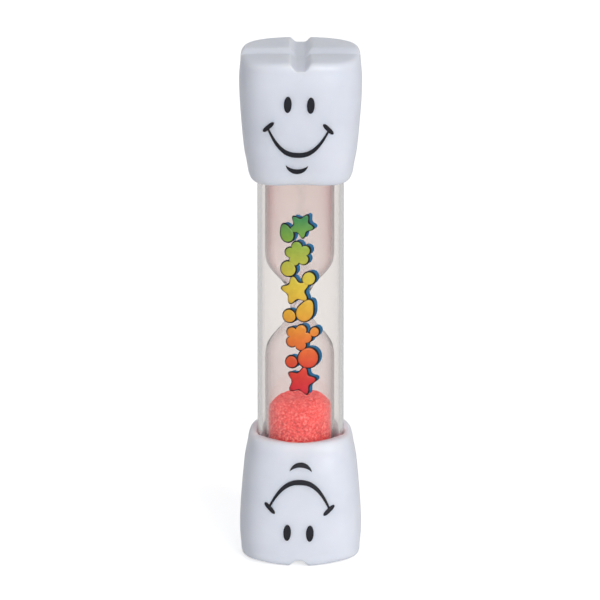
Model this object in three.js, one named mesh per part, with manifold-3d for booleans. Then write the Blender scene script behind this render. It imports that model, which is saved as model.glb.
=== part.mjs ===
// A small brushing timer: a two-bulb sand glass sealed in a clear tube, with a tooth-shaped cap on each end.
// Millimetres, +Z up. The timer stands on its lower cap, centred on the Z axis, with the floor at Z = 0.
// The front, where the caps have their flat-fronted faces, looks along -Y.

import * as THREE from 'three';
import { mergeVertices } from 'three/addons/utils/BufferGeometryUtils.js';
import Module from 'manifold-3d';

// ---------------------------------------------------------------- driving dimensions

const HEIGHT = 90; // the whole timer, biting plane to biting plane
const GAP = 0.3; // clearance kept between neighbouring pieces

// Caps. Half widths are measured across the flats, heights from the biting plane.
const CAP_HEIGHT = 21.9; // at the middle of each side
const CAP_SQUARENESS = 3.25; // exponent of the rounded-square section: 2 is a circle
const BITE_EDGE = { inset: 1.25, height: 1.9 }; // rounding round the biting plane
const NECK_EDGE = { inset: 1.0, height: 2.3 }; // rounding round the end that holds the tube
const CAP_FLANK = [
  [10.35, 1.9],
  [10.6, 4.6],
  [10.5, 8],
  [10.28, 11.2],
  [10.0, 14.5],
  [9.68, 17.4],
  [9.2, 19.6],
];
const ROOTS = { rise: 0.15, start: 14 }; // the corners reach further along the tube, like short roots
const GROOVE = { halfWidth: 2.4, depth: 1.05 }; // the cross of two grooves between the four cusps
const SOCKET = { radius: 7.8, depth: 16.3 }; // the blind hole that takes the tube

// Clear outer tube.
const TUBE = { outer: 7.5, inner: 6.7 };
const GLUE = { outer: 7.45, inner: 6.75, height: 0.8 }; // bead under each end of the tube

// Foam pads between the glass and the socket floors.
const PAD = { radius: 6.3, thickness: 1.5, hole: 3.0 };

// Two-bulb glass. The wall line is given from the middle of the neck to the top of the bulb's shoulder.
const GLASS_WALL = 0.5;
const GLASS_RADIUS = 6;
const GLASS_END = 1.6; // corner radius at each closed end
const FILL_HOLE = 1.6;
const SHOULDER = [
  [1.6, 0],
  [1.62, 0.9],
  [1.8, 1.9],
  [2.4, 3.0],
  [3.1, 4.0],
  [4.0, 5.0],
  [5.0, 6.2],
  [5.65, 7.3],
  [5.93, 8.5],
  [GLASS_RADIUS, 9.6],
];
const NECK_BORE = 0.6; // radius of the hole the sand runs through
const OFF_CENTRE = -0.15; // the glass sits this far along X from the middle of its tube

// Stopper in the fill hole, pushed in from the top.
const STOPPER = { shank: 1.3, depth: 1.9, flange: 2.3, flangeHeight: 0.7 };

// Sand charge lying in the lower bulb.
const SAND = { level: 26.6, heap: 1.5, heapRadius: 2.9 };

// ---------------------------------------------------------------- derived heights

const SOCKET_FLOOR = CAP_HEIGHT - SOCKET.depth;
const TUBE_BOTTOM = SOCKET_FLOOR + GAP + GLUE.height + GAP;
const GLASS_BOTTOM = SOCKET_FLOOR + GAP + PAD.thickness + GAP;
const MIDDLE = HEIGHT / 2;

const ROUND = 32; // segments round the turned pieces
const CAP_ROUND = 56; // segments round the caps

// ---------------------------------------------------------------- shared helpers

const wasm = await Module();
wasm.setup();

// A closed geometry with merged vertices, carrying nothing but positions.
function welded(geometry) {
  const bare = geometry.index ? geometry.toNonIndexed() : geometry;
  bare.deleteAttribute('normal');
  bare.deleteAttribute('uv');
  return mergeVertices(bare, 1e-4);
}

function toSolid(geometry) {
  const clean = welded(geometry);
  const vertProperties = new Float32Array(clean.getAttribute('position').array);
  const triVerts = new Uint32Array(clean.getIndex().array);
  return new wasm.Manifold(new wasm.Mesh({ numProp: 3, vertProperties, triVerts }));
}

function toGeometry(solid) {
  const mesh = solid.getMesh();
  const geometry = new THREE.BufferGeometry();
  geometry.setAttribute('position', new THREE.BufferAttribute(mesh.vertProperties, 3));
  geometry.setIndex(new THREE.BufferAttribute(mesh.triVerts, 1));
  geometry.computeVertexNormals();
  return geometry;
}

// Turns a closed outline of [radius, height] pairs about the Z axis.
function turned(outline, segments = ROUND) {
  const points = outline.map(([r, z]) => new THREE.Vector2(r, z));
  const geometry = new THREE.LatheGeometry(points, segments);
  geometry.rotateX(Math.PI / 2);
  return welded(geometry);
}

// A quarter of an ellipse, from one end of the arc to the other, both ends included.
function quarter(centre, radii, from, steps) {
  return Array.from({ length: steps + 1 }, (_, i) => {
    const a = from + (i / steps) * (Math.PI / 2);
    return [centre[0] + radii[0] * Math.cos(a), centre[1] + radii[1] * Math.sin(a)];
  });
}

// A smooth line through [radius, height] pairs.
function smooth(pairs, steps) {
  const line = new THREE.SplineCurve(pairs.map(([r, z]) => new THREE.Vector2(r, z)));
  return line.getPoints(steps).map((p) => [p.x, p.y]);
}

function part(name, geometry, { color, roughness, metalness = 0, opacity = 1 }) {
  const material = new THREE.MeshStandardMaterial({ color, roughness, metalness });
  if (opacity < 1) Object.assign(material, { transparent: true, opacity });
  const mesh = new THREE.Mesh(geometry, material);
  mesh.name = name;
  return mesh;
}

// ---------------------------------------------------------------- caps

// One of the two crossed grooves: a bar with a bell-shaped keel, running along X and cutting into the biting plane.
function grooveCutter() {
  const { halfWidth, depth } = GROOVE;
  const reach = 14;
  const shape = new THREE.Shape();
  shape.moveTo(-halfWidth, -1);
  shape.lineTo(halfWidth, -1);
  const steps = 10;
  for (let i = 0; i <= steps; i++) {
    const x = halfWidth * (1 - (2 * i) / steps);
    shape.lineTo(x, (depth / 2) * (1 + Math.cos((Math.PI * x) / halfWidth)));
  }
  shape.closePath();
  const bar = new THREE.ExtrudeGeometry(shape, { depth: 2 * reach, bevelEnabled: false });
  bar.translate(0, 0, -reach);
  bar.rotateX(Math.PI / 2);
  return bar;
}

// A tooth-shaped cap standing on its biting plane, with its socket facing up.
function capGeometry() {
  const [biteR, biteZ] = CAP_FLANK[0];
  const [neckR] = CAP_FLANK[CAP_FLANK.length - 1];
  const bite = quarter([biteR - BITE_EDGE.inset, BITE_EDGE.height], [BITE_EDGE.inset, BITE_EDGE.height],
    -Math.PI / 2, 5);
  const neck = quarter([neckR - NECK_EDGE.inset, CAP_HEIGHT - NECK_EDGE.height],
    [NECK_EDGE.inset, NECK_EDGE.height], 0, 4);
  const flank = smooth(CAP_FLANK, 8).filter(([, z]) => z > biteZ + 0.1 && z < CAP_HEIGHT - NECK_EDGE.height - 0.1);
  const outline = [[0, 0], ...bite, ...flank, ...neck, [0, CAP_HEIGHT]];

  // The turned body's round sections are pushed out to rounded squares, and its corners stretched into the roots.
  const body = turned(outline, CAP_ROUND);
  const position = body.getAttribute('position');
  for (let i = 0; i < position.count; i++) {
    const x = position.getX(i);
    const y = position.getY(i);
    const r = Math.hypot(x, y);
    if (r < 1e-6) continue;
    const push = (Math.abs(x / r) ** CAP_SQUARENESS + Math.abs(y / r) ** CAP_SQUARENESS) ** (-1 / CAP_SQUARENESS);
    const z = position.getZ(i);
    const ramp = THREE.MathUtils.smoothstep(z, ROOTS.start, CAP_HEIGHT);
    const corner = (1 - Math.cos(4 * Math.atan2(y, x))) / 2;
    position.setXYZ(i, x * push, y * push, z + ROOTS.rise * corner * ramp);
  }

  const socket = turned([[0, SOCKET_FLOOR], [SOCKET.radius, SOCKET_FLOOR], [SOCKET.radius, CAP_HEIGHT + 2],
    [0, CAP_HEIGHT + 2]], CAP_ROUND);
  const across = grooveCutter();
  const along = across.clone().rotateZ(Math.PI / 2);
  const grooves = toSolid(across).add(toSolid(along));
  return toGeometry(toSolid(body).subtract(grooves).subtract(toSolid(socket)));
}

function lowerCap() {
  return part('lower_cap', capGeometry(), { color: 0xd9dce6, roughness: 0.3 });
}

// The same moulding, turned over about the front-to-back axis.
function upperCap() {
  const cap = part('upper_cap', capGeometry(), { color: 0xd9dce6, roughness: 0.3 });
  cap.rotation.y = Math.PI;
  cap.position.z = HEIGHT;
  return cap;
}

// ---------------------------------------------------------------- tube and what holds it

function ring(outer, inner, bottom, top) {
  return turned([[inner, bottom], [outer, bottom], [outer, top], [inner, top], [inner, bottom]]);
}

function outerTube() {
  const geometry = ring(TUBE.outer, TUBE.inner, TUBE_BOTTOM, HEIGHT - TUBE_BOTTOM);
  return part('outer_tube', geometry, { color: 0xe6e4e0, roughness: 0.08, opacity: 0.3 });
}

function glueRing(name, bottom) {
  const geometry = ring(GLUE.outer, GLUE.inner, bottom, bottom + GLUE.height);
  return part(name, geometry, { color: 0xe8e2d0, roughness: 0.5 });
}

function lowerPad() {
  const bottom = SOCKET_FLOOR + GAP;
  const geometry = turned([[0, bottom], [PAD.radius, bottom], [PAD.radius, bottom + PAD.thickness],
    [0, bottom + PAD.thickness]]);
  return part('lower_pad', geometry, { color: 0xf0f0ee, roughness: 0.95 });
}

// The upper pad is a ring, so that it clears the stopper's flange.
function upperPad() {
  const top = HEIGHT - SOCKET_FLOOR - GAP;
  const geometry = ring(PAD.radius, PAD.hole, top - PAD.thickness, top);
  return part('upper_pad', geometry, { color: 0xf0f0ee, roughness: 0.95 });
}

// ---------------------------------------------------------------- glass, stopper and sand

// The shoulder line on one side of the neck, moved in by the wall for the inner face.
function shoulderLine(inner) {
  const pairs = SHOULDER.map(([r, h]) => {
    if (!inner) return [r, h];
    const nearNeck = Math.max(0, 1 - h / 3);
    return [r - GLASS_WALL - nearNeck * (SHOULDER[0][0] - GLASS_WALL - NECK_BORE), h];
  });
  return smooth(pairs, 10);
}

function glassVial() {
  const r = GLASS_RADIUS;
  const end = quarter([r - GLASS_END, GLASS_BOTTOM + GLASS_END], [GLASS_END, GLASS_END], -Math.PI / 2, 3);
  const endIn = quarter([r - GLASS_END, GLASS_BOTTOM + GLASS_END],
    [GLASS_END - GLASS_WALL, GLASS_END - GLASS_WALL], -Math.PI / 2, 3);
  const flip = ([x, z]) => [x, HEIGHT - z];
  const up = ([x, h]) => [x, MIDDLE + h];
  const down = ([x, h]) => [x, MIDDLE - h];

  const outerLine = shoulderLine(false);
  const innerLine = shoulderLine(true);
  const outside = [
    [0, GLASS_BOTTOM],
    ...end,
    ...[...outerLine].reverse().map(down),
    ...outerLine.slice(1).map(up),
    ...[...end].reverse().map(flip),
    [FILL_HOLE, HEIGHT - GLASS_BOTTOM],
  ];
  const inside = [
    [0, GLASS_BOTTOM + GLASS_WALL],
    ...endIn,
    ...[...innerLine].reverse().map(down),
    ...innerLine.slice(1).map(up),
    ...[...endIn].reverse().map(flip),
    [FILL_HOLE, HEIGHT - GLASS_BOTTOM - GLASS_WALL],
  ];
  return part('glass_vial', turned([...outside, ...inside.reverse()]), {
    color: 0xe4d4d2, roughness: 0.05, opacity: 0.3,
  });
}

function vialStopper() {
  const top = HEIGHT - GLASS_BOTTOM + GAP;
  const { shank, depth, flange, flangeHeight } = STOPPER;
  const geometry = turned([[0, top - depth], [shank, top - depth], [shank, top], [flange, top],
    [flange, top + flangeHeight], [0, top + flangeHeight]]);
  return part('vial_stopper', geometry, { color: 0xf2f0ea, roughness: 0.7 });
}

function sandCharge() {
  const r = GLASS_RADIUS - GLASS_WALL - GAP;
  const corner = GLASS_END - GLASS_WALL;
  const bottom = GLASS_BOTTOM + GLASS_WALL + GAP;
  const geometry = turned([
    [0, bottom],
    ...quarter([r - corner, bottom + corner], [corner, corner], -Math.PI / 2, 3),
    [r, SAND.level],
    [SAND.heapRadius, SAND.level + SAND.heap],
    [0, SAND.level + SAND.heap + 0.1],
  ]);
  return part('sand', geometry, { color: 0xe9635b, roughness: 0.95 });
}

// ---------------------------------------------------------------- assembly

const timer = new THREE.Group();

const ends = new THREE.Group();
ends.add(lowerCap(), upperCap());

const sleeve = new THREE.Group();
sleeve.add(
  outerTube(),
  glueRing('lower_glue_ring', SOCKET_FLOOR + GAP),
  glueRing('upper_glue_ring', HEIGHT - SOCKET_FLOOR - GAP - GLUE.height),
);

const sandGlass = new THREE.Group();
const loose = new THREE.Group();
loose.add(glassVial(), vialStopper(), sandCharge());
loose.position.x = OFF_CENTRE;
sandGlass.add(lowerPad(), upperPad(), loose);

timer.add(ends, sleeve, sandGlass);

export default timer;
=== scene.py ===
"""Blender scene for a small sand timer with tooth-shaped caps.

Lengths are written in millimetres and turned into metres by MM. The timer stands on its lower cap at
Z = 0, its printed front looks along -Y, and +X is to the right of someone facing that front.
"""

import math
import random

import bmesh
import bpy
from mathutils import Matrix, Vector, noise


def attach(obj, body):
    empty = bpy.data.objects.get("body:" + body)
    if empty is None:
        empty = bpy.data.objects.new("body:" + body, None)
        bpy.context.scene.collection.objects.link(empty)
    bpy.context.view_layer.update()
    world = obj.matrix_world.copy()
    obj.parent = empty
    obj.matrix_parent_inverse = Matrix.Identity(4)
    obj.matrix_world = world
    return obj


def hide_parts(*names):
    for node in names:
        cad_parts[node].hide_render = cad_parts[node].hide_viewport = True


MM = 0.001

# ------------------------------------------------------------------ sizes, in mm
HEIGHT = 90.0
MIDDLE = HEIGHT / 2
CAP_HEIGHT = 21.9
SQUARENESS = 3.25
BITE_INSET, BITE_HEIGHT, BITE_POWER = 1.25, 1.9, 0.72
NECK_INSET, NECK_HEIGHT = 1.0, 2.3
ROOT_RISE, ROOT_START = 0.28, 14.0
NECK_BLEND = (17, 21.4)  # the stretch where the flank runs into the rounding of the neck
# the outer corners of the cusps: how far they fall away, from what radius, over what radius and height
CUSP_FALL_UPPER, CUSP_FALL_LOWER = 0.2, 0.62
CORNER_START, CORNER_REACH, CORNER_HEIGHT = 6.5, 3.5, 4.5
# distance from the biting plane, half width of the cap
CAP_FLANK = [(1.9, 10.35), (4.6, 10.58), (8.0, 10.5), (11.2, 10.28), (14.5, 10.0), (17.4, 9.68), (19.6, 9.2)]
GROOVE_HALF_WIDTH, GROOVE_DEPTH = 2.6, 1.05
GROOVE_ACROSS_Y = -0.9  # the groove from side to side runs a little in front of the middle
GROOVE_ALONG_HALF_WIDTH = 2.0
# the groove from front to back: where its middle is, how wide each side is, how far it dips at the front
GROOVE_ALONG_UPPER = (0.0, 1.3, 0.4)
GROOVE_ALONG_LOWER = (-0.3, 1.6, 0.15)
DIP_START, DIP_REACH = 4.0, 5.0
GROOVE_ROWS = 6  # rows of the cap that lie above this are clear of the grooves
SOCKET_DEPTH = 16.3
SOCKET_FLOOR = CAP_HEIGHT - SOCKET_DEPTH
TUBE_OUTER, TUBE_INNER = 7.5, 6.7
TUBE_BOTTOM = 7.0
TUBE_EDGE = 0.15
MOUTH_GAP, MOUTH_LIP = 0.05, 0.5
GLASS_BOTTOM = 7.7
GLASS_SHIFT = -0.15
GLASS_RADIUS, GLASS_WALL, GLASS_END = 6.0, 0.5, 1.6
# distance from the middle of the neck, outer radius of the glass
SHOULDER = [(0, 1.6), (0.9, 1.62), (1.9, 1.8), (3.0, 2.4), (4.0, 3.1), (5.0, 4.0), (6.2, 5.0), (7.3, 5.65),
            (8.5, 5.93), (9.6, 6.0)]
NECK_BORE = 0.6
FILL_HOLE = 1.6
SAND_RADIUS = 5.44
SAND_LEVEL, SAND_HEAP, SAND_PLATEAU = 26.7, 1.75, 2.9
PAD_THICKNESS, PAD_RADIUS, PAD_EDGE, PAD_HOLE = 1.5, 6.3, 0.25, 3.0
GLUE_THICKNESS, GLUE_RADIUS = 0.8, 7.1
END_GAP = 0.3  # from a socket's floor to its pad and its glue

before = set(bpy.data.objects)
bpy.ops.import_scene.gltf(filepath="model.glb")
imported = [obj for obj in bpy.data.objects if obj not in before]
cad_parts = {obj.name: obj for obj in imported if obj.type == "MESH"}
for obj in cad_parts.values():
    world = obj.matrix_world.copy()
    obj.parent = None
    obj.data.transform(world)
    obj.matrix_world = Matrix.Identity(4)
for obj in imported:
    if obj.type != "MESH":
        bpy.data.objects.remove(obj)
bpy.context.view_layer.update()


# ------------------------------------------------------------------ mesh helpers
def new_piece(name, verts, faces, body, materials, replaces=(), smooth=True):
    """A mesh object from points in mm, riding on a CAD body."""
    mesh = bpy.data.meshes.new(name)
    mesh.from_pydata([(x * MM, y * MM, z * MM) for x, y, z in verts], [], faces)
    mesh.validate()
    for m in materials:
        mesh.materials.append(m)
    mesh.polygons.foreach_set("use_smooth", [smooth] * len(mesh.polygons))
    mesh.update()
    piece = bpy.data.objects.new(name, mesh)
    bpy.context.scene.collection.objects.link(piece)
    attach(piece, body)
    if replaces:
        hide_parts(*replaces)
    return piece


def ring_mesh(rings, closed_profile=False):
    """Joins rings of points, each the same length. A ring of one point closes an end. Faces look outwards
    when the rings go up the outside, each ring running anticlockwise seen from above."""
    verts, starts = [], []
    for ring in rings:
        starts.append(len(verts))
        verts += ring
    count = max(len(r) for r in rings)
    faces = []
    pairs = list(zip(range(len(rings) - 1), range(1, len(rings))))
    if closed_profile:
        pairs.append((len(rings) - 1, 0))
    for a, b in pairs:
        for j in range(count):
            k = (j + 1) % count
            if len(rings[a]) == 1:
                faces.append((starts[a], starts[b] + k, starts[b] + j))
            elif len(rings[b]) == 1:
                faces.append((starts[a] + j, starts[a] + k, starts[b]))
            else:
                faces.append((starts[a] + j, starts[a] + k, starts[b] + k, starts[b] + j))
    return verts, faces


def turned(profile, segments, bend=None, shift=0.0):
    """Rings of a turned body, from (radius, height) pairs. bend(x, y, z) may move each point."""
    rings = []
    for r, z in profile:
        if r <= 0:
            points = [(0.0, 0.0, z)]
        else:
            points = [(r * math.cos(a), r * math.sin(a), z) for a in around(segments)]
        if bend:
            points = [bend(*p) for p in points]
        rings.append([(x + shift, y, zz) for x, y, zz in points])
    return rings


def arc(cx, cz, rx, rz, start, end, steps):
    """Points of an elliptic arc, both ends included, with the angles in degrees."""
    return [(cx + rx * math.cos(math.radians(start + (end - start) * i / steps)),
             cz + rz * math.sin(math.radians(start + (end - start) * i / steps))) for i in range(steps + 1)]


def curve_through(pairs):
    """A smooth function through (s, value) pairs, with tangents from the neighbours."""
    xs, ys = zip(*pairs)
    last = len(xs) - 1
    slopes = []
    for i in range(last + 1):
        a, b = max(i - 1, 0), min(i + 1, last)
        slopes.append((ys[b] - ys[a]) / (xs[b] - xs[a]))

    def value(s):
        s = min(max(s, xs[0]), xs[-1])
        i = next((i for i in range(last) if s <= xs[i + 1]), last - 1)
        h = xs[i + 1] - xs[i]
        t = (s - xs[i]) / h
        return ((2 * t**3 - 3 * t**2 + 1) * ys[i] + (t**3 - 2 * t**2 + t) * h * slopes[i]
                + (-2 * t**3 + 3 * t**2) * ys[i + 1] + (t**3 - t**2) * h * slopes[i + 1])

    return value


def spread(start, end, steps):
    return [start + (end - start) * i / steps for i in range(steps + 1)]


def around(count):
    """That many angles, evenly round the circle."""
    return [2 * math.pi * j / count for j in range(count)]


def clamped(t):
    return min(max(t, 0.0), 1.0)


def ease(t):
    """Runs smoothly from 0 to 1 as t does."""
    t = clamped(t)
    return t * t * (3 - 2 * t)


def wobble(x, y, z, size, amount, seed=0.0):
    """Smooth noise of about plus or minus amount, with features of about size mm."""
    return amount * noise.noise(Vector((x / size + seed, y / size - seed, z / size + 2 * seed)))


# ------------------------------------------------------------------ material helpers
class Nodes:
    """A short way to write a node tree."""

    def __init__(self, name):
        self.material = bpy.data.materials.new(name)
        self.material.use_nodes = True
        self.tree = self.material.node_tree
        self.tree.nodes.clear()
        self.output = self.add("ShaderNodeOutputMaterial")
        self.object = None

    def add(self, kind, **inputs):
        node = self.tree.nodes.new(kind)
        for key, value in inputs.items():
            if hasattr(node, key):
                setattr(node, key, value)
            else:
                self.set(node, key.replace("_", " "), value)
        return node

    def set(self, node, socket, value):
        target = node.inputs[socket]
        if isinstance(value, bpy.types.NodeSocket):
            self.tree.links.new(value, target)
        else:
            target.default_value = value

    def coords(self):
        if self.object is None:
            self.object = self.add("ShaderNodeTexCoord").outputs["Object"]
        return self.object

    def noise(self, scale, detail=3.0, roughness=0.5, stretch=None):
        vector = self.coords()
        if stretch:
            mapping = self.add("ShaderNodeMapping")
            self.set(mapping, "Vector", vector)
            mapping.inputs["Scale"].default_value = stretch
            vector = mapping.outputs["Vector"]
        node = self.add("ShaderNodeTexNoise", Scale=scale, Detail=detail, Roughness=roughness)
        self.set(node, "Vector", vector)
        return node.outputs["Fac"]

    def ramp(self, factor, stops):
        node = self.add("ShaderNodeValToRGB")
        elements = node.color_ramp.elements
        while len(elements) < len(stops):
            elements.new(0.5)
        for element, (place, colour) in zip(elements, stops):
            element.position = place
            element.color = (*colour, 1.0)
        self.set(node, "Fac", factor)
        return node.outputs["Color"]

    def between(self, factor, low, high):
        node = self.add("ShaderNodeMapRange")
        self.set(node, "Value", factor)
        node.inputs["From Min"].default_value = 0.3
        node.inputs["From Max"].default_value = 0.7
        node.inputs["To Min"].default_value = low
        node.inputs["To Max"].default_value = high
        return node.outputs["Result"]

    def height(self, low, high):
        """Runs from 0 to 1 between two heights in mm."""
        split = self.add("ShaderNodeSeparateXYZ")
        self.set(split, "Vector", self.coords())
        node = self.add("ShaderNodeMapRange")
        self.set(node, "Value", split.outputs["Z"])
        node.inputs["From Min"].default_value = low * MM
        node.inputs["From Max"].default_value = high * MM
        return node.outputs["Result"]

    def times(self, a, b, share=1.0):
        node = self.add("ShaderNodeMix", data_type="RGBA", blend_type="MULTIPLY")
        node.inputs[0].default_value = share
        self.tree.links.new(a, node.inputs[6])
        self.tree.links.new(b, node.inputs[7])
        return node.outputs[2]

    def edge_on(self):
        return self.add("ShaderNodeLayerWeight", Blend=0.5).outputs["Facing"]

    def bump(self, height, strength, distance):
        node = self.add("ShaderNodeBump", Strength=strength, Distance=distance)
        self.set(node, "Height", height)
        return node.outputs["Normal"]

    def principled(self, **inputs):
        node = self.add("ShaderNodeBsdfPrincipled")
        for key, value in inputs.items():
            self.set(node, key.replace("_", " "), value)
        self.tree.links.new(node.outputs["BSDF"], self.output.inputs["Surface"])
        return node


def white_plastic():
    n = Nodes("white_plastic")
    cloud = n.noise(160.0, 3.0, 0.55)
    colour = n.ramp(cloud, [(0.3, (0.735, 0.765, 0.84)), (0.5, (0.76, 0.79, 0.865)),
                            (0.7, (0.785, 0.81, 0.88))])
    peel = n.bump(n.noise(1400.0, 2.0), 0.12, 0.00006)
    shader = n.principled(Base_Color=colour, Roughness=n.between(n.noise(420.0), 0.34, 0.44), Normal=peel)
    shader.inputs["Subsurface Weight"].default_value = 0.8
    shader.inputs["Subsurface Radius"].default_value = (1.0, 0.9, 0.85)
    shader.inputs["Subsurface Scale"].default_value = 0.003
    shader.inputs["IOR"].default_value = 1.49
    return n.material


def clear_plastic():
    n = Nodes("clear_plastic")
    waves = n.bump(n.noise(45.0, 1.5, 0.5, stretch=(1.0, 1.0, 0.25)), 0.05, 0.0004)
    tint = n.ramp(n.edge_on(), [(0.0, (0.905, 0.88, 0.86)), (0.4, (0.905, 0.88, 0.86)),
                                (0.7, (0.9, 0.88, 0.865)), (0.95, (0.93, 0.92, 0.91))])
    shader = n.principled(Base_Color=tint, Roughness=0.0, Normal=waves)
    shader.inputs["Transmission Weight"].default_value = 1.0
    shader.inputs["IOR"].default_value = 1.49
    absorb = n.add("ShaderNodeVolumeAbsorption", Density=100.0)
    absorb.inputs["Color"].default_value = (0.5, 0.48, 0.45, 1.0)
    n.tree.links.new(absorb.outputs["Volume"], n.output.inputs["Volume"])
    return n.material


def bulb_glass():
    """Clear glass, darker where it is seen edge on, the more so the higher it is on the emptied bulb: partly
    sand dust clinging there, partly painted shade from the cap above.
    """
    n = Nodes("bulb_glass")
    waves = n.bump(n.noise(70.0, 2.0, 0.5, stretch=(1.0, 1.0, 0.4)), 0.06, 0.0004)
    edge = n.ramp(n.edge_on(), [(0.0, (1.0, 0.995, 0.985)), (0.14, (0.99, 0.98, 0.975)),
                                (0.36, (0.95, 0.89, 0.895)), (0.55, (0.78, 0.63, 0.64)),
                                (0.85, (0.46, 0.3, 0.31))])
    # from 44 to 68 mm up, the tint turns darker and pinker and the edges darken more: partly sand dust
    # clinging in the upper bulb, partly painted shade from the cap above
    height = n.height(44.0, 68.0)
    dust_and_cap_shade = n.ramp(height, [(0.0, (1.0, 1.0, 1.0)), (0.45, (0.995, 0.985, 0.98)), (1.0, (0.99, 0.95, 0.945))])
    streaks = n.ramp(n.noise(120.0, 3.0, 0.6, stretch=(1.0, 1.0, 0.15)),
                     [(0.35, (0.975, 0.96, 0.96)), (0.65, (1.0, 1.0, 1.0))])
    rising = n.add("ShaderNodeMix", data_type="RGBA")
    low_edge = n.ramp(n.edge_on(), [(0.3, (1.0, 0.99, 0.985)), (0.85, (0.8, 0.74, 0.74))])
    n.tree.links.new(height, rising.inputs[0])
    n.tree.links.new(low_edge, rising.inputs[6])
    n.tree.links.new(edge, rising.inputs[7])
    tint = n.times(n.times(rising.outputs[2], dust_and_cap_shade), streaks)
    shader = n.principled(Base_Color=tint, Roughness=0.0, Normal=waves)
    shader.inputs["Transmission Weight"].default_value = 1.0
    shader.inputs["IOR"].default_value = 1.5
    absorb = n.add("ShaderNodeVolumeAbsorption", Density=130.0)
    absorb.inputs["Color"].default_value = (0.65, 0.35, 0.375, 1.0)
    n.tree.links.new(absorb.outputs["Volume"], n.output.inputs["Volume"])
    return n.material


def coral_sand():
    n = Nodes("coral_sand")
    grains = n.noise(2900.0, 2.0, 0.6)
    patches = n.noise(260.0, 2.0)
    colour = n.ramp(grains, [(0.37, (0.58, 0.015, 0.015)), (0.46, (0.92, 0.035, 0.03)),
                             (0.56, (0.98, 0.085, 0.072)), (0.65, (1.0, 0.33, 0.28))])
    colour = n.times(colour, n.ramp(patches, [(0.35, (0.84, 0.78, 0.78)), (0.65, (1.0, 1.0, 1.0))]), 0.4)
    rough = n.bump(grains, 0.7, 0.00012)
    n.principled(Base_Color=colour, Roughness=n.between(grains, 0.95, 0.75), Normal=rough)
    return n.material


def printed_ink(name, colour, dark, roughness=0.35):
    n = Nodes(name)
    cloud = n.noise(900.0, 3.0)
    shader = n.principled(Base_Color=n.ramp(cloud, [(0.35, dark), (0.65, colour)]),
                          Roughness=n.between(cloud, roughness, roughness + 0.12))
    shader.inputs["Specular IOR Level"].default_value = 0.3
    return n.material


def rainbow_ink(low, high):
    """Ink whose hue runs up the tube from low to high, in mm."""
    n = Nodes("rainbow_ink")
    hue = n.ramp(n.height(low, high), [
        (0.0, (0.66, 0.012, 0.03)), (0.14, (0.75, 0.05, 0.02)), (0.30, (0.84, 0.2, 0.025)),
        (0.45, (0.83, 0.42, 0.03)), (0.62, (0.78, 0.58, 0.05)), (0.75, (0.5, 0.52, 0.06)),
        (0.88, (0.22, 0.42, 0.05)), (1.0, (0.04, 0.26, 0.08))])
    cloud = n.noise(1100.0, 3.0)
    speckled = n.times(hue, n.ramp(cloud, [(0.35, (0.86, 0.84, 0.8)), (0.65, (1.0, 1.0, 1.0))]), 0.6)
    n.principled(Base_Color=speckled, Roughness=n.between(cloud, 0.3, 0.42))
    return n.material


def matt(name, colour, dark, scale, roughness, depth):
    n = Nodes(name)
    cells = n.noise(scale, 4.0, 0.65)
    n.principled(Base_Color=n.ramp(cells, [(0.35, dark), (0.62, colour)]),
                 Roughness=n.between(cells, roughness, roughness - 0.1), Normal=n.bump(cells, 0.6, depth))
    return n.material


WHITE = white_plastic()
CLEAR = clear_plastic()
GLASS = bulb_glass()
SAND = coral_sand()
FACE_INK = printed_ink("face_ink", (0.007, 0.008, 0.014), (0.004, 0.004, 0.008), 0.45)
LINE_INK = printed_ink("line_ink", (0.006, 0.008, 0.012), (0.003, 0.004, 0.006))
SHADE_INK = printed_ink("shade_ink", (0.016, 0.15, 0.32), (0.01, 0.1, 0.22))
RAINBOW = rainbow_ink(31.0, 62.0)
FOAM = matt("white_foam", (0.82, 0.82, 0.8), (0.62, 0.62, 0.6), 2600.0, 0.97, 0.0001)
RUBBER = matt("stopper_rubber", (0.78, 0.76, 0.7), (0.68, 0.66, 0.6), 900.0, 0.75, 0.00003)
GLUE = matt("set_glue", (0.8, 0.76, 0.62), (0.7, 0.66, 0.5), 500.0, 0.4, 0.00005)


# ------------------------------------------------------------------ caps
half_width = curve_through(CAP_FLANK)


def squared(x, y, share=1.0):
    """Pushes a point of a round section out to the rounded square, by share."""
    r = math.hypot(x, y)
    if r < 1e-9:
        return x, y
    push = (abs(x / r) ** SQUARENESS + abs(y / r) ** SQUARENESS) ** (-1 / SQUARENESS)
    push = 1 + (push - 1) * share
    return x * push, y * push


def groove_floor(x, y, upper):
    """How far the two crossed grooves reach into the cap at this point of the biting plane."""
    middle, side, front_dip = GROOVE_ALONG_UPPER if upper else GROOVE_ALONG_LOWER
    across = clamped(1 - abs(y - GROOVE_ACROSS_Y) / GROOVE_HALF_WIDTH)
    across = 0.5 * (1 - math.cos(math.pi * across))
    along = ease((GROOVE_ALONG_HALF_WIDTH - abs(x - middle)) / side)
    depth = GROOVE_DEPTH + front_dip * ease((-y - DIP_START) / DIP_REACH)
    return depth * (across**8 + along**8) ** 0.125


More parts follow.
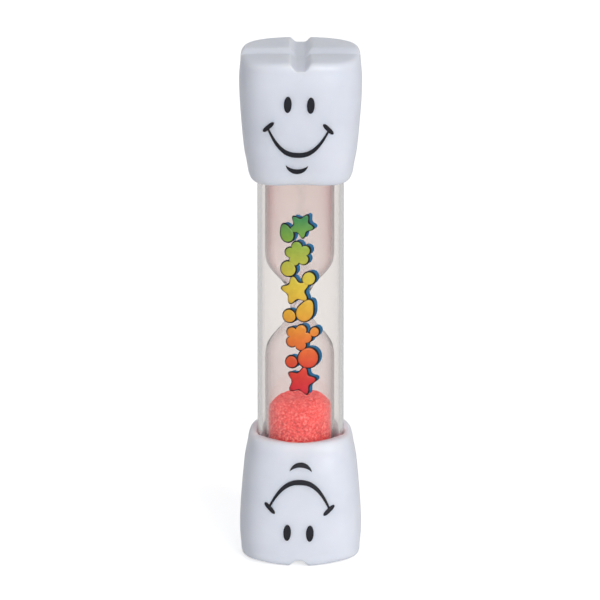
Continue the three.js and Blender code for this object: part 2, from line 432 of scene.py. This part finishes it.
def cap_rings():
    """A cap standing on its biting plane, as (radius, height, share of squareness)."""
    bite_r = CAP_FLANK[0][1]
    neck_r = CAP_FLANK[-1][1]
    rows = [(0.0, 0.0, 1.0)]
    rows += [(r, 0.0, 1.0) for r in spread(0.2, bite_r - BITE_INSET, 36)]
    for t in spread(0, math.pi / 2, 20)[1:]:
        out, up = math.sin(t) ** BITE_POWER, 1 - math.cos(t) ** BITE_POWER
        rows.append((bite_r - BITE_INSET + BITE_INSET * out, BITE_HEIGHT * up, 1.0))
    rows += [(half_width(z), z, 1.0) for z in spread(CAP_FLANK[0][0], CAP_FLANK[-1][0], 64)[1:]]
    neck = arc(neck_r - NECK_INSET, CAP_HEIGHT - NECK_HEIGHT, NECK_INSET, NECK_HEIGHT, 0, 90, 20)
    rows += [(r, z, 1.0) for r, z in neck[1:]]
    for _ in range(14):
        smoothed = []
        for before, row, after in zip(rows[:1] + rows[:-1], rows, rows[1:] + rows[-1:]):
            if NECK_BLEND[0] < row[1] < NECK_BLEND[1]:
                row = tuple((b + 2 * c + d) / 4 for b, c, d in zip(before[:2], row, after)) + row[2:]
            smoothed.append(row)
        rows = smoothed
    mouth, lip = TUBE_OUTER + MOUTH_GAP, CAP_HEIGHT - MOUTH_LIP
    rows += [(r, z, 0.0) for r, z in arc(mouth + MOUTH_LIP, lip, -MOUTH_LIP, MOUTH_LIP, 90, 0, 8)]
    rows += [(mouth, z, 0.0) for z in spread(lip, SOCKET_FLOOR, 30)[1:]]
    rows += [(mouth * k, SOCKET_FLOOR, 0.0) for k in (0.97, 0.6, 0.3)] + [(0.0, SOCKET_FLOOR, 0.0)]
    return rows


def cap_z(x, y, row, angle, turned_over):
    """The height of a point of a row of cap_rings once the grooves, cusps and roots are formed."""
    r, z, share = row
    outside = share == 1.0
    corner = (1 - math.cos(4 * angle)) / 2
    deep = groove_floor(x, y, turned_over) if z < GROOVE_ROWS and outside else 0.0
    formed = (z**10 + deep**10) ** 0.1 if deep > 0 else z
    # the roots stand up at the corners of the neck
    inwards = 1.0 if share else clamped((r - TUBE_OUTER - MOUTH_GAP) / MOUTH_LIP) ** 2
    formed += ROOT_RISE * corner * ease((z - ROOT_START) / (CAP_HEIGHT - ROOT_START)) * inwards
    # the outer corners of the cusps fall away a little from the biting plane
    fall = CUSP_FALL_UPPER if turned_over else CUSP_FALL_LOWER
    near_plane = clamped((CORNER_HEIGHT - z) / CORNER_HEIGHT) * outside
    return formed + fall * corner * ease(clamped((r - CORNER_START) / CORNER_REACH) * near_plane)


def cap(name, node, turned_over, segments=224):
    rings = []
    for row in cap_rings():
        r, z, share = row
        ring = []
        for j in range(segments if r > 0 else 1):
            a = 2 * math.pi * j / segments
            x, y = squared(r * math.cos(a), r * math.sin(a), share)
            # faint sink marks and uneven cooling of a thick moulding
            sunk = wobble(x, y, z, 7.0, 0.003, 3.1 if turned_over else 8.7)
            swell = 1 + sunk * (share == 1.0 and z > 0.5)
            ring.append((x * swell, y * swell, cap_z(x, y, row, a, turned_over)))
        rings.append(ring)
    verts, faces = ring_mesh(rings)
    if turned_over:
        verts = [(-x, y, HEIGHT - z) for x, y, z in verts]
    return new_piece(name, verts, faces, "case", [WHITE], (node,))


cap("cap_lower", "lower_cap", False)
cap("cap_upper", "upper_cap", True)


# ------------------------------------------------------------------ face prints on the caps
INK_PROUD, INK_SUNK = 0.035, 0.08
FLANK_ROWS = [(z, r) for r, z, share in cap_rings() if share and z > 1.0 and r > 9.0]


def flank_radius(s):
    for (z0, r0), (z1, r1) in zip(FLANK_ROWS, FLANK_ROWS[1:]):
        if z0 <= s <= z1:
            return r0 + (r1 - r0) * (s - z0) / (z1 - z0)
    return half_width(s)


PRINT_TILT = math.radians(2.1)
PRINT_MIDDLE = 12.0
EYE_ACROSS, EYE_MIDDLE, EYE_HALF_HEIGHT, EYE_WIDTH = 1.97, 7.2, 1.45, 1.33
CHEEK_START, CHEEK_END, CHEEK_WIDTH = (4.24, 10.48), (6.02, 12.3), 0.76
SMILE_HALF_WIDTH, SMILE_LOWEST, SMILE_DROP, SMILE_POWER = 5.12, 16.2, 0.0804, 2.45
CHIN_HALF_WIDTH, CHIN_START, CHIN_OUTER, CHIN_INNER = 1.93, 18.08, 1.56, 0.72


def on_cap(u, s, turned_over, proud, centre):
    """The point of a cap's front at u mm across and s mm from the biting plane, on the tilted print."""
    ds = s - PRINT_MIDDLE
    x = u * math.cos(PRINT_TILT) - ds * math.sin(PRINT_TILT)
    s = PRINT_MIDDLE + u * math.sin(PRINT_TILT) + ds * math.cos(PRINT_TILT)
    if not turned_over:
        x = -x
    x += centre
    a = flank_radius(s)
    y = -((a**SQUARENESS - abs(x) ** SQUARENESS) ** (1 / SQUARENESS)) - proud
    return x, y, (HEIGHT - s) if turned_over else s


def slab(grid, place):
    """Points and faces of a thin slab over a grid of (u, v) points, which place(u, v, proud) puts in space."""
    rows, cols = len(grid), len(grid[0])
    top = [place(u, v, INK_PROUD) for row in grid for u, v in row]
    under = [place(u, v, -INK_SUNK) for row in grid for u, v in row]
    verts = top + under
    n = len(top)
    faces = []

    def at(i, j):
        return i * cols + j

    for i in range(rows - 1):
        for j in range(cols - 1):
            a, b, c, d = at(i, j), at(i, j + 1), at(i + 1, j + 1), at(i + 1, j)
            faces.append((a, b, c, d))
            faces.append((n + d, n + c, n + b, n + a))
    edge = [at(0, j) for j in range(cols)] + [at(i, cols - 1) for i in range(1, rows)]
    edge += [at(rows - 1, j) for j in range(cols - 2, -1, -1)] + [at(i, 0) for i in range(rows - 2, 0, -1)]
    for a, b in zip(edge, edge[1:] + edge[:1]):
        faces.append((b, a, n + a, n + b))
    return verts, faces


def stroke(points, widths, across=6):
    """A grid along a line of (u, v) points, as wide as widths says at each."""
    grid = []
    for i, (u, v) in enumerate(points):
        a, b = points[max(i - 1, 0)], points[min(i + 1, len(points) - 1)]
        du, dv = b[0] - a[0], b[1] - a[1]
        length = math.hypot(du, dv)
        nu, nv = -dv / length, du / length
        grid.append([(u + nu * widths[i] * t, v + nv * widths[i] * t) for t in spread(-0.5, 0.5, across)])
    return grid


def lens_stroke(start, end, width, steps=24):
    """A short straight mark with rounded ends."""
    line, widths = [], []
    for i in range(steps + 1):
        t = 0.5 - 0.5 * math.cos(math.pi * i / steps)
        line.append((start[0] + (end[0] - start[0]) * t, start[1] + (end[1] - start[1]) * t))
        widths.append(max(width * math.sqrt(max(1 - abs(2 * t - 1) ** 3, 0)), 0.02))
    return stroke(line, widths, 4)


def eased_spread(steps):
    """From -1 to 1, closer together near both ends."""
    return [math.sin(math.pi / 2 * k) for k in spread(-1, 1, steps)]


def eye_mark(side):
    line = [(side * EYE_ACROSS, EYE_MIDDLE + EYE_HALF_HEIGHT * t) for t in eased_spread(28)]
    widths = [max(EYE_WIDTH * math.sqrt(max(1 - t * t, 0)), 0.02) for t in eased_spread(28)]
    return stroke(line, widths, 8)


def smile_mark():
    reach = spread(-SMILE_HALF_WIDTH, SMILE_HALF_WIDTH, 72)
    line = [(u, SMILE_LOWEST - SMILE_DROP * abs(u) ** SMILE_POWER) for u in reach]
    return stroke(line, [0.36 + 0.56 * (1 - (u / SMILE_HALF_WIDTH) ** 2) ** 1.3 for u in reach])


def chin_mark():
    """A crescent between two arcs that meet at its ends."""
    def bow(t, sag):
        radius = (CHIN_HALF_WIDTH**2 + sag**2) / (2 * sag)
        return math.sqrt(radius**2 - (CHIN_HALF_WIDTH * t) ** 2) - radius + sag

    grid = []
    for t in eased_spread(36):
        inner, outer = CHIN_START + bow(t, CHIN_INNER), CHIN_START + bow(t, CHIN_OUTER) + 0.03
        grid.append([(CHIN_HALF_WIDTH * t, inner + (outer - inner) * k) for k in spread(0, 1, 6)])
    return grid


def face_marks():
    """The smiling face, as grids of (u, s): u across, s from the biting plane."""
    marks = []
    for side in (-1, 1):
        marks.append(eye_mark(side))
        start, end = [(side * u, s) for u, s in (CHEEK_START, CHEEK_END)]
        marks.append(lens_stroke(start, end, CHEEK_WIDTH))
    return marks + [smile_mark(), chin_mark()]


def face_print(name, turned_over, centre, lift):
    verts, faces = [], []
    for grid in face_marks():
        v, f = slab(grid, lambda u, s, proud: on_cap(u, s + lift, turned_over, proud, centre))
        faces += [tuple(i + len(verts) for i in face) for face in f]
        verts += v
    piece = new_piece(name, verts, faces, "case", [FACE_INK])
    fix_normals(piece)
    return piece


def fix_normals(piece):
    bm = bmesh.new()
    bm.from_mesh(piece.data)
    bmesh.ops.recalc_face_normals(bm, faces=bm.faces)
    bm.to_mesh(piece.data)
    bm.free()


face_print("face_print_upper", True, -0.4, 0.06)
face_print("face_print_lower", False, -0.16, -0.9)


# ------------------------------------------------------------------ clear tube
def clear_tube():
    edge, top = TUBE_EDGE, HEIGHT - TUBE_BOTTOM
    profile = arc(TUBE_OUTER - edge, TUBE_BOTTOM + edge, edge, edge, -90, 0, 4)
    profile += [(TUBE_OUTER, z) for z in spread(TUBE_BOTTOM + 1, top - 1, 60)]
    profile += arc(TUBE_OUTER - edge, top - edge, edge, edge, 0, 90, 4)
    profile += arc(TUBE_INNER + edge, top - edge, edge, edge, 90, 180, 4)
    profile += [(TUBE_INNER, z) for z in spread(top - 1, TUBE_BOTTOM + 1, 60)]
    profile += arc(TUBE_INNER + edge, TUBE_BOTTOM + edge, edge, edge, 180, 270, 4)
    verts, faces = ring_mesh(turned(profile, 160), closed_profile=True)
    return new_piece("tube_clear", verts, faces, "case", [CLEAR], ("outer_tube",))


clear_tube()


# ------------------------------------------------------------------ print on the tube
def polar(kind, radius):
    """The outline of a printed shape, as a radius for each direction."""
    def star(a):
        return radius * (0.62 + 0.38 * (0.5 + 0.5 * math.cos(5 * a)) ** 1.5)

    def flower(a):
        return radius * (0.66 + 0.34 * abs(math.cos(2.5 * a)) ** 0.75)

    def drop(a):
        return radius * (0.68 + 0.32 * max(math.cos(a), 0) ** 7 + 0.04 * math.cos(2 * a))

    def bubble(a):
        return radius * (1 + 0.02 * math.cos(3 * a))

    return {"star": star, "flower": flower, "drop": drop, "bubble": bubble}[kind]


# kind, centre across and up in mm, radius, turn in degrees
TUBE_SHAPES = [
    ("star", 0.1, 32.9, 2.5, 14),
    ("bubble", -1.6, 36.3, 1.0, 0),
    ("bubble", 1.3, 37.0, 1.75, 0),
    ("flower", -0.4, 40.7, 2.3, 20),
    ("bubble", 2.4, 41.6, 0.8, 0),
    ("drop", 0.7, 45.2, 2.25, 24),
    ("bubble", -2.0, 44.5, 1.1, 0),
    ("star", -0.9, 49.1, 2.5, -12),
    ("bubble", 1.4, 51.2, 1.1, 0),
    ("bubble", -2.2, 52.9, 1.3, 0),
    ("flower", -0.5, 55.6, 2.2, -8),
    ("drop", -2.4, 59.0, 1.8, -20),
    ("star", 0.1, 60.6, 2.1, 30),
]
TUBE_LAYERS = [  # name, material, slot, grown by, moved across and up, proud of the tube, in mm
    ("tube_print_shade", SHADE_INK, "print_ink", 0.16, 0.66, 0.3, 0.02),
    ("tube_print_line", LINE_INK, "print_ink", 0.24, 0.1, 0.05, 0.04),
    ("tube_print_fill", RAINBOW, "print_ink", 0.0, 0.0, 0.0, 0.06),
]


PRINT_UNDERSIDE = 0.004  # how far above the tube each layer starts


def on_tube(u, z, proud):
    a = u / TUBE_OUTER
    r = TUBE_OUTER + proud
    return r * math.sin(a), -r * math.cos(a), z


def tube_print(name, material, slot, grown, across, up, proud, segments=80, shells=6):
    verts, faces = [], []
    for kind, u0, z0, radius, turn in TUBE_SHAPES:
        outline = polar(kind, radius)
        flat = [(u0 + across, z0 + up)]
        for k in range(1, shells + 1):
            for a in around(segments):
                r, way = (outline(a) + grown) * k / shells, a + math.radians(turn)
                flat.append((u0 + across + r * math.sin(way), z0 + up + r * math.cos(way)))
        start, n = len(verts), len(flat)
        verts += [on_tube(u, z, proud) for u, z in flat]
        verts += [on_tube(u, z, PRINT_UNDERSIDE) for u, z in flat]
        for j in range(segments):
            k = (j + 1) % segments
            faces.append((start, start + 1 + j, start + 1 + k))
            faces.append((start + n, start + n + 1 + k, start + n + 1 + j))
            for shell in range(shells - 1):
                a, b = start + 1 + shell * segments, start + 1 + (shell + 1) * segments
                faces.append((a + j, b + j, b + k, a + k))
                faces.append((n + a + k, n + b + k, n + b + j, n + a + j))
            rim = start + 1 + (shells - 1) * segments
            faces.append((rim + j, n + rim + j, n + rim + k, rim + k))
    piece = new_piece(name, verts, faces, "case", [material])
    fix_normals(piece)
    return piece


for layer in TUBE_LAYERS:
    tube_print(*layer)


# ------------------------------------------------------------------ glass
shoulder = curve_through(SHOULDER)


def shoulder_inside(h):
    near_neck = max(0.0, 1 - h / 3)
    return shoulder(h) - GLASS_WALL - near_neck * (SHOULDER[0][1] - GLASS_WALL - NECK_BORE)


def glass_vial():
    reach = SHOULDER[-1][0]
    corner, inner_end = GLASS_RADIUS - GLASS_END, GLASS_END - GLASS_WALL
    end_out = arc(corner, GLASS_BOTTOM + GLASS_END, GLASS_END, GLASS_END, -90, 0, 12)
    end_in = arc(corner, GLASS_BOTTOM + GLASS_END, inner_end, inner_end, -90, 0, 12)

    def side(end, line, wall):
        r = GLASS_RADIUS - wall
        lower = end + [(r, z) for z in spread(GLASS_BOTTOM + GLASS_END, MIDDLE - reach, 24)[1:]]
        lower += [(line(h), MIDDLE - h) for h in spread(reach, 0, 60)[1:]]
        return lower + [(r0, HEIGHT - z0) for r0, z0 in reversed(lower[:-1])]

    def half(height, end, line, wall):
        closed = [(0.0, height), (2.0, height)] + side(end, line, wall)
        return closed + [(FILL_HOLE + 0.3, HEIGHT - height)]

    outside = half(GLASS_BOTTOM, end_out, shoulder, 0.0)
    inside = half(GLASS_BOTTOM + GLASS_WALL, end_in, shoulder_inside, GLASS_WALL)
    lip = GLASS_WALL / 2
    hole = arc(FILL_HOLE + lip, HEIGHT - GLASS_BOTTOM - lip, lip, lip, 90, 270, 6)
    profile = outside + hole + list(reversed(inside))

    def uneven(x, y, z):
        r = math.hypot(x, y)
        if r < 1:
            return x, y, z
        k = 1 + wobble(x, y, z, 9.0, 0.05, 5.3) / r
        return x * k, y * k, z

    verts, faces = ring_mesh(turned(profile, 160, uneven, GLASS_SHIFT))
    return new_piece("vial_glass", verts, faces, "case", [GLASS], ("glass_vial",))


glass_vial()


# ------------------------------------------------------------------ sand
def heap(x, y):
    """Height of the heap above the line where the sand meets the glass."""
    t = clamped((SAND_RADIUS - math.hypot(x, y)) / (SAND_RADIUS - SAND_PLATEAU))
    ripples = wobble(x, y, 0.0, 1.6, 0.12, 1.7) + wobble(x, y, 0.0, 0.35, 0.06, 4.1)
    return SAND_HEAP * (1 - (1 - t) ** 1.9) + ripples


def at_rim(angle):
    return SAND_RADIUS * math.cos(angle), SAND_RADIUS * math.sin(angle)


def rim_height(angle):
    """The sand stands a little lower against the left of the glass."""
    x, y = at_rim(angle)
    return SAND_LEVEL + 0.05 * x + wobble(x, y, 0.0, 3.0, 0.25, 9.2)


def sand_top(r, angle):
    """Height of the sand's surface, which meets the glass at rim_height."""
    k = r / SAND_RADIUS
    rise = heap(r * math.cos(angle), r * math.sin(angle)) - heap(*at_rim(angle)) * k
    return SAND_LEVEL * (1 - k) + rim_height(angle) * k + rise


def sand_fill(segments=300):
    corner = GLASS_END - GLASS_WALL
    bottom = GLASS_BOTTOM + GLASS_WALL + 0.06
    side_start = bottom + corner
    below = [(0.0, bottom), (1.5, bottom), (3.0, bottom)]
    below += arc(SAND_RADIUS - corner, side_start, corner, corner, -90, 0, 10)
    rings = [[(r * math.cos(a), r * math.sin(a), z) for a in around(segments if r > 0 else 1)]
             for r, z in below]
    for t in spread(0.0, 1.0, 150)[1:]:
        ring = []
        for a in around(segments):
            x, y = at_rim(a)
            z = side_start + (rim_height(a) - side_start) * t
            # single grains leave small hollows against the glass
            hollow = 0.05 * (0.5 + noise.noise(Vector((x / 0.22, y / 0.22, z / 0.22))))
            k = 1 - hollow / SAND_RADIUS
            ring.append((x * k, y * k, z))
        rings.append(ring)
    for k in spread(1.0, 0.0, 56)[1:]:
        r = SAND_RADIUS * k
        rings.append([(r * math.cos(a), r * math.sin(a), sand_top(r, a))
                      for a in around(segments if r > 0 else 1)])
    rings = [[(x + GLASS_SHIFT, y, z) for x, y, z in ring] for ring in rings]
    verts, faces = ring_mesh(rings)
    return new_piece("sand_fill", verts, faces, "sand_charge", [SAND], ("sand",))


def grain(centre, size, rng):
    """A small angular grain: a jittered octahedron."""
    points = []
    for axis in ((1, 0, 0), (-1, 0, 0), (0, 1, 0), (0, -1, 0), (0, 0, 1), (0, 0, -1)):
        k = size * rng.uniform(0.7, 1.15)
        points.append(tuple(c + a * k + rng.uniform(-0.2, 0.2) * size for c, a in zip(centre, axis)))
    return points, [(0, 2, 4), (2, 1, 4), (1, 3, 4), (3, 0, 4), (2, 0, 5), (1, 2, 5), (3, 1, 5), (0, 3, 5)]


def grains(name, body, places):
    rng = random.Random(11)
    verts, faces = [], []
    for centre, size in places:
        v, f = grain(centre, size, rng)
        faces += [tuple(i + len(verts) for i in face) for face in f]
        verts += v
    return new_piece(name, verts, faces, body, [SAND], smooth=False)


NECK_DUST, BULB_DUST = (39.5, 52.0), (52.0, 80.0)  # between what heights the dust clings


def heap_grains(rng, count=2600, reach=5.3):
    """Loose grains all over the top of the heap."""
    places = []
    while len(places) < count:
        r, a = reach * math.sqrt(rng.random()), rng.uniform(0, 2 * math.pi)
        centre = (r * math.cos(a) + GLASS_SHIFT, r * math.sin(a), sand_top(r, a) + 0.01)
        places.append((centre, rng.uniform(0.05, 0.11)))
    return places


def dust_grains(rng, count=5200, near_neck=500):
    """Grains left on the inside of the glass, most of them in the upper bulb."""
    places = []
    while len(places) < count:
        z = rng.uniform(*(NECK_DUST if len(places) < near_neck else BULB_DUST))
        h = abs(z - MIDDLE)
        r = (shoulder_inside(h) if h < SHOULDER[-1][0] else GLASS_RADIUS - GLASS_WALL) - 0.09
        if r < 1.2:
            continue
        a = rng.uniform(0, 2 * math.pi)
        places.append(((r * math.cos(a) + GLASS_SHIFT, r * math.sin(a), z), rng.uniform(0.014, 0.034)))
    return places


sand_fill()
placing = random.Random(7)
grains("sand_grains", "sand_charge", heap_grains(placing))
grains("vial_dust", "case", dust_grains(placing))


# ------------------------------------------------------------------ hidden pieces
def pad(name, node, bottom, hole):
    edge, top, outer = PAD_EDGE, bottom + PAD_THICKNESS, PAD_RADIUS
    profile = arc(outer - edge, bottom + edge, edge, edge, -90, 0, 5)
    profile += arc(outer - edge, top - edge, edge, edge, 0, 90, 5)
    if hole:
        profile += arc(hole + edge, top - edge, edge, edge, 90, 180, 5)
        profile += arc(hole + edge, bottom + edge, edge, edge, 180, 270, 5)
    else:
        profile = [(0.0, bottom), (3.0, bottom)] + profile + [(3.0, top), (0.0, top)]

    def spongy(x, y, z):
        k = 1 + wobble(x, y, z, 0.6, 0.012, 2.2)
        return x * k, y * k, z

    verts, faces = ring_mesh(turned(profile, 96, spongy), closed_profile=bool(hole))
    return new_piece(name, verts, faces, "case", [FOAM], (node,))


def adhesive(name, node, bottom):
    half = GLUE_THICKNESS / 2
    middle = bottom + half

    def rounded(t):
        return math.copysign(abs(t) ** 0.6, t)

    profile = [(GLUE_RADIUS + 0.33 * rounded(math.cos(a)), middle + half * rounded(math.sin(a)))
               for a in spread(0, 2 * math.pi, 16)[:-1]]

    def beaded(x, y, z):
        lift = wobble(x, y, 0.0, 1.8, 0.16, 6.6)
        return x, y, middle + (z - middle) * (0.85 + lift)

    verts, faces = ring_mesh(turned(profile, 120, beaded), closed_profile=True)
    return new_piece(name, verts, faces, "case", [GLUE], (node,))


def stopper():
    top = HEIGHT - GLASS_BOTTOM + 0.3
    profile = [(0.0, top - 1.9), (0.9, top - 1.9)] + arc(1.1, top - 1.7, 0.2, 0.2, -90, 0, 4)
    profile += [(1.42, top - 0.9), (1.3, top - 0.6), (1.3, top - 0.05), (1.35, top)]
    profile += [(2.1, top)] + arc(2.15, top + 0.15, 0.15, 0.15, -90, 0, 4)
    profile += arc(2.1, top + 0.5, 0.2, 0.2, 0, 90, 4)
    profile += [(0.8, top + 0.66), (0.0, top + 0.64)]
    verts, faces = ring_mesh(turned(profile, 64, None, GLASS_SHIFT))
    return new_piece("vial_plug", verts, faces, "case", [RUBBER], ("vial_stopper",))


LOW_END, HIGH_END = SOCKET_FLOOR + END_GAP, HEIGHT - SOCKET_FLOOR - END_GAP
pad("foam_lower", "lower_pad", LOW_END, 0.0)
pad("foam_upper", "upper_pad", HIGH_END - PAD_THICKNESS, PAD_HOLE)
adhesive("adhesive_lower", "lower_glue_ring", LOW_END)
adhesive("adhesive_upper", "upper_glue_ring", HIGH_END - GLUE_THICKNESS)
stopper()


# ------------------------------------------------------------------ floor, light and camera
def straight_view(tree):
    """One for what the camera sees bare or through glass, less for what the glass mirrors."""
    path = tree.nodes.new("ShaderNodeLightPath")
    mirrored = tree.nodes.new("ShaderNodeMapRange")
    tree.links.new(path.outputs["Glossy Depth"], mirrored.inputs["Value"])
    mirrored.inputs["To Min"].default_value = 1.0
    mirrored.inputs["To Max"].default_value = MIRRORED

    def joined(operation, a, b):
        node = tree.nodes.new("ShaderNodeMath")
        node.operation = operation
        tree.links.new(a, node.inputs[0])
        tree.links.new(b, node.inputs[1])
        return node.outputs[0]

    bent = joined("MAXIMUM", path.outputs["Is Transmission Ray"], path.outputs["Is Glossy Ray"])
    through = joined("MULTIPLY", bent, mirrored.outputs["Result"])
    return joined("MAXIMUM", path.outputs["Is Camera Ray"], through)


def stage_floor(radius=3.2, rings=40, segments=96):
    """A white disc, with its rings closer together under the timer."""
    mesh = bpy.data.meshes.new("floor")
    verts = [(0.0, 0.0, 0.0)]
    faces = []
    for k in range(1, rings + 1):
        r = radius * (k / rings) ** 2
        verts += [(r * math.cos(a), r * math.sin(a), 0.0) for a in around(segments)]
    for j in range(segments):
        m = (j + 1) % segments
        faces.append((0, 1 + j, 1 + m))
        for k in range(rings - 1):
            a, b = 1 + k * segments, 1 + (k + 1) * segments
            faces.append((a + j, b + j, b + m, a + m))
    mesh.from_pydata(verts, [], faces)
    n = Nodes("floor_paper")
    grain_noise = n.noise(700.0, 4.0)
    diffuse = n.add("ShaderNodeBsdfDiffuse")
    paper = n.ramp(grain_noise, [(0.35, (0.80, 0.80, 0.81)), (0.65, (0.83, 0.83, 0.84))])
    n.set(diffuse, "Color", paper)
    glow = n.add("ShaderNodeEmission", Strength=FLOOR_GLOW)
    glow.inputs["Color"].default_value = (1.0, 1.0, 1.0, 1.0)
    both = n.add("ShaderNodeAddShader")
    n.tree.links.new(diffuse.outputs[0], both.inputs[0])
    n.tree.links.new(glow.outputs[0], both.inputs[1])
    choice = n.add("ShaderNodeMixShader")
    n.tree.links.new(straight_view(n.tree), choice.inputs[0])
    n.tree.links.new(diffuse.outputs[0], choice.inputs[1])
    n.tree.links.new(both.outputs[0], choice.inputs[2])
    n.tree.links.new(choice.outputs[0], n.output.inputs["Surface"])
    mesh.materials.append(n.material)
    floor = bpy.data.objects.new("floor", mesh)
    bpy.context.scene.collection.objects.link(floor)


MIRRORED = 0.38  # how much of the white surroundings the glass mirrors
FLOOR_GLOW = 0.64
WORLD_LIGHT = (0.475, 0.48, 0.493)
WORLD_SEEN = (1.6, 1.6, 1.6)
WORLD_FRONT, WORLD_BACK = 0.846, 1.035
WORLD_LOW, WORLD_HIGH = 1.0, 0.85
KEY_STRENGTH = 1.84


def world_light():
    """Even light from all round, a little stronger from behind, with a plain white background."""
    world = bpy.data.worlds.new("studio")
    bpy.context.scene.world = world
    world.use_nodes = True
    tree = world.node_tree
    tree.nodes.clear()
    out = tree.nodes.new("ShaderNodeOutputWorld")
    lit, seen = tree.nodes.new("ShaderNodeBackground"), tree.nodes.new("ShaderNodeBackground")
    lit.inputs["Color"].default_value = (*WORLD_LIGHT, 1.0)
    seen.inputs["Color"].default_value = (*WORLD_SEEN, 1.0)
    coords = tree.nodes.new("ShaderNodeTexCoord")
    split = tree.nodes.new("ShaderNodeSeparateXYZ")
    tree.links.new(coords.outputs["Generated"], split.inputs[0])

    def along(socket, low, high):
        node = tree.nodes.new("ShaderNodeMapRange")
        tree.links.new(socket, node.inputs["Value"])
        node.inputs["From Min"].default_value = -1.0
        node.inputs["To Min"].default_value = low
        node.inputs["To Max"].default_value = high
        return node.outputs["Result"]

    def product(a, b):
        node = tree.nodes.new("ShaderNodeMath")
        node.operation = "MULTIPLY"
        tree.links.new(a, node.inputs[0])
        tree.links.new(b, node.inputs[1])
        return node.outputs[0]

    level = product(along(split.outputs["Y"], WORLD_FRONT, WORLD_BACK),
                    along(split.outputs["Z"], WORLD_LOW, WORLD_HIGH))
    tree.links.new(level, lit.inputs["Strength"])
    mix = tree.nodes.new("ShaderNodeMixShader")
    tree.links.new(straight_view(tree), mix.inputs[0])
    tree.links.new(lit.outputs[0], mix.inputs[1])
    tree.links.new(seen.outputs[0], mix.inputs[2])
    tree.links.new(mix.outputs[0], out.inputs["Surface"])


def soft_sun(name, azimuth, elevation, strength, spread_deg):
    """A broad distant light. Azimuth 0 is the front, and positive is to the right of it."""
    lamp = bpy.data.lights.new(name, "SUN")
    lamp.energy = strength
    lamp.angle = math.radians(spread_deg)
    ob = bpy.data.objects.new(name, lamp)
    a, e = math.radians(azimuth), math.radians(elevation)
    towards = Vector((math.sin(a) * math.cos(e), -math.cos(a) * math.cos(e), math.sin(e)))
    ob.rotation_euler = towards.to_track_quat("Z", "Y").to_euler()
    ob.location = towards
    bpy.context.scene.collection.objects.link(ob)


def camera(lens=450.0, distance=1.3, elevation=15.5):
    """A long lens in front of the timer and a little above it."""
    data = bpy.data.cameras.new("camera")
    data.lens, data.sensor_width = lens, 36.0
    data.clip_start, data.clip_end = 0.05, 20.0
    ob = bpy.data.objects.new("camera", data)
    e = math.radians(elevation)
    back = Vector((0.0, -math.cos(e), math.sin(e)))
    up = Vector((0.0, math.sin(e), math.cos(e)))
    aim = Vector((-0.1 * MM, 0.0, MIDDLE * MM)) + up * 0.33 * MM
    ob.location = aim + back * distance
    ob.rotation_euler = back.to_track_quat("Z", "Y").to_euler()
    bpy.context.scene.collection.objects.link(ob)
    bpy.context.scene.camera = ob


stage_floor()
world_light()
soft_sun("key_light", 24, 20, KEY_STRENGTH, 36)
camera()
bpy.context.scene.view_settings.view_transform = "Standard"
# light reaches the sand and the sockets through many glass surfaces, and passes each of them sharply
bpy.context.scene.cycles.max_bounces = 28
bpy.context.scene.cycles.transmission_bounces = 28
bpy.context.scene.cycles.blur_glossy = 0.0
